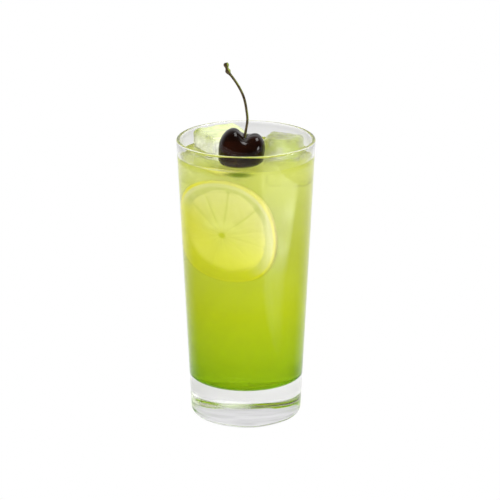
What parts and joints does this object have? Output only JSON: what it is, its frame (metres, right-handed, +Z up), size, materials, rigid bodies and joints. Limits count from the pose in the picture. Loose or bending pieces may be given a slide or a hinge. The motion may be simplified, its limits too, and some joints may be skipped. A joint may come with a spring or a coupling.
{
  "type": "mojito cocktail",
  "caption": "Tall tapered clear glass of cloudy yellow-green cocktail with ice cubes, a lemon slice and a dark cherry on its stem.",
  "frame": {"origin": "centre of the glass's flat underside, on the surface it stands on", "axes": "+Z up along the glass's axis, front of the drink towards -Y, +X to the right of the picture"},
  "size_m": [0.075, 0.075, 0.201],
  "materials": {
    "clear_glass": "clear polished glass",
    "cloudy_drink": "cloudy yellow-green drink",
    "lemon": "wet cut lemon with yellow rind",
    "cherry_skin": "glossy near-black cherry skin",
    "stem": "dry brown-green stalk",
    "ice": "wet clear to cloudy ice"
  },
  "bodies": {
    "root": {"glass": "clear_glass", "drink": "cloudy_drink", "lemon_slice": "lemon", "cherry": "cherry_skin", "cherry_stem": "stem", "ice_left": "ice", "ice_right": "ice"}
  },
  "joints": []
}
